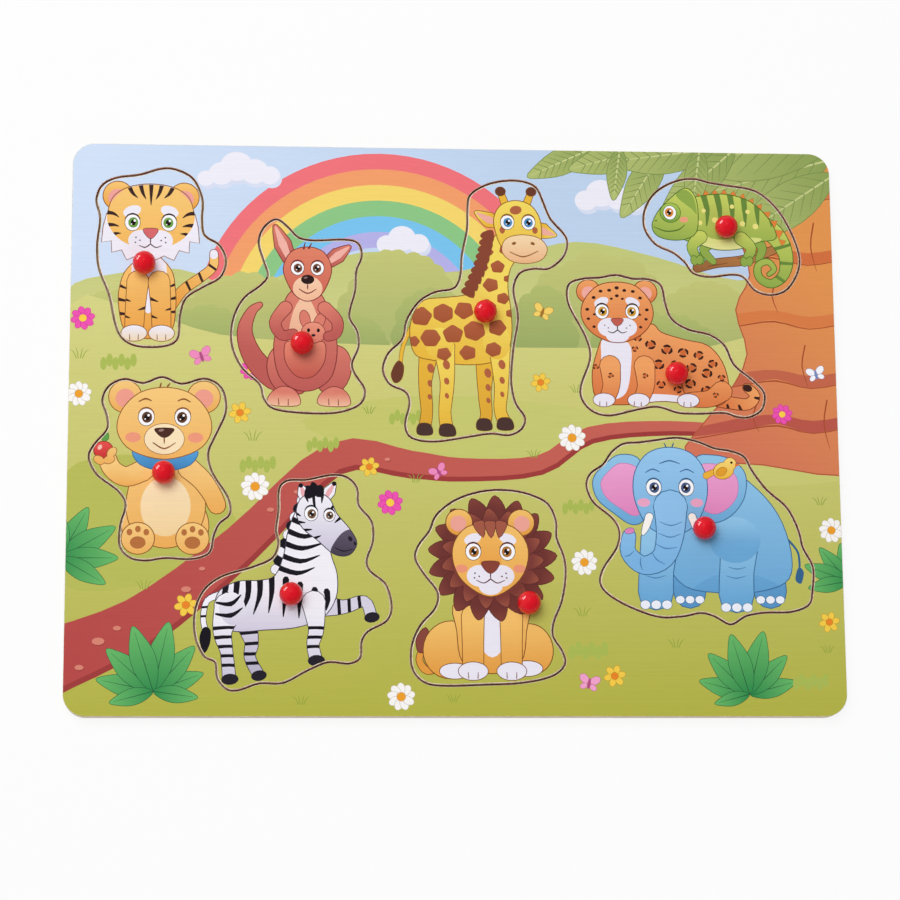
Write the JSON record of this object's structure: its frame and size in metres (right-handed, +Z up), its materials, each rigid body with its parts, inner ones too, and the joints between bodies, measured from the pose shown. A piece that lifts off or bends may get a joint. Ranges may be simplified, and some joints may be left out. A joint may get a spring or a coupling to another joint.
{
  "type": "wooden animal puzzle",
  "caption": "Flat rectangular plywood tray puzzle with round-cornered backing, whose animal-shaped pieces lift straight out of their pockets by small ball knobs.",
  "frame": {"origin": "centre of the board's underside, which lies on the table", "axes": "+X along the board's long side to the right of its picture, +Y to the picture's top, +Z up out of the printed face"},
  "size_m": [0.3, 0.225, 0.0151],
  "materials": {
    "printed_plywood": "satin ink printed straight on thin plywood, with burnt laser-cut edges",
    "plain_plywood": "sanded, uncoated",
    "red_plastic": "gloss, moulded",
    "zinc_plated_steel": "zinc plated"
  },
  "bodies": {
    "board": {"back_board": "plain_plywood", "tray_board": "printed_plywood"},
    "tiger": {"tiger_piece": "printed_plywood", "tiger_knob": "red_plastic", "tiger_screw": "zinc_plated_steel"},
    "kangaroo": {"kangaroo_piece": "printed_plywood", "kangaroo_knob": "red_plastic", "kangaroo_screw": "zinc_plated_steel"},
    "giraffe": {"giraffe_piece": "printed_plywood", "giraffe_knob": "red_plastic", "giraffe_screw": "zinc_plated_steel"},
    "chameleon": {"chameleon_piece": "printed_plywood", "chameleon_knob": "red_plastic", "chameleon_screw": "zinc_plated_steel"},
    "leopard": {"leopard_piece": "printed_plywood", "leopard_knob": "red_plastic", "leopard_screw": "zinc_plated_steel"},
    "bear": {"bear_piece": "printed_plywood", "bear_knob": "red_plastic", "bear_screw": "zinc_plated_steel"},
    "zebra": {"zebra_piece": "printed_plywood", "zebra_knob": "red_plastic", "zebra_screw": "zinc_plated_steel"},
    "lion": {"lion_piece": "printed_plywood", "lion_knob": "red_plastic", "lion_screw": "zinc_plated_steel"},
    "elephant": {"elephant_piece": "printed_plywood", "elephant_knob": "red_plastic", "elephant_screw": "zinc_plated_steel"}
  },
  "joints": [
    {"name": "tiger_lift", "type": "slide", "parent": "board", "child": "tiger", "axis": [0, 0, 1], "range_m": [0, 0.03]},
    {"name": "kangaroo_lift", "type": "slide", "parent": "board", "child": "kangaroo", "axis": [0, 0, 1], "range_m": [0, 0.03]},
    {"name": "giraffe_lift", "type": "slide", "parent": "board", "child": "giraffe", "axis": [0, 0, 1], "range_m": [0, 0.03]},
    {"name": "chameleon_lift", "type": "slide", "parent": "board", "child": "chameleon", "axis": [0, 0, 1], "range_m": [0, 0.03]},
    {"name": "leopard_lift", "type": "slide", "parent": "board", "child": "leopard", "axis": [0, 0, 1], "range_m": [0, 0.03]},
    {"name": "bear_lift", "type": "slide", "parent": "board", "child": "bear", "axis": [0, 0, 1], "range_m": [0, 0.03]},
    {"name": "zebra_lift", "type": "slide", "parent": "board", "child": "zebra", "axis": [0, 0, 1], "range_m": [0, 0.03]},
    {"name": "lion_lift", "type": "slide", "parent": "board", "child": "lion", "axis": [0, 0, 1], "range_m": [0, 0.03]},
    {"name": "elephant_lift", "type": "slide", "parent": "board", "child": "elephant", "axis": [0, 0, 1], "range_m": [0, 0.03]}
  ]
}
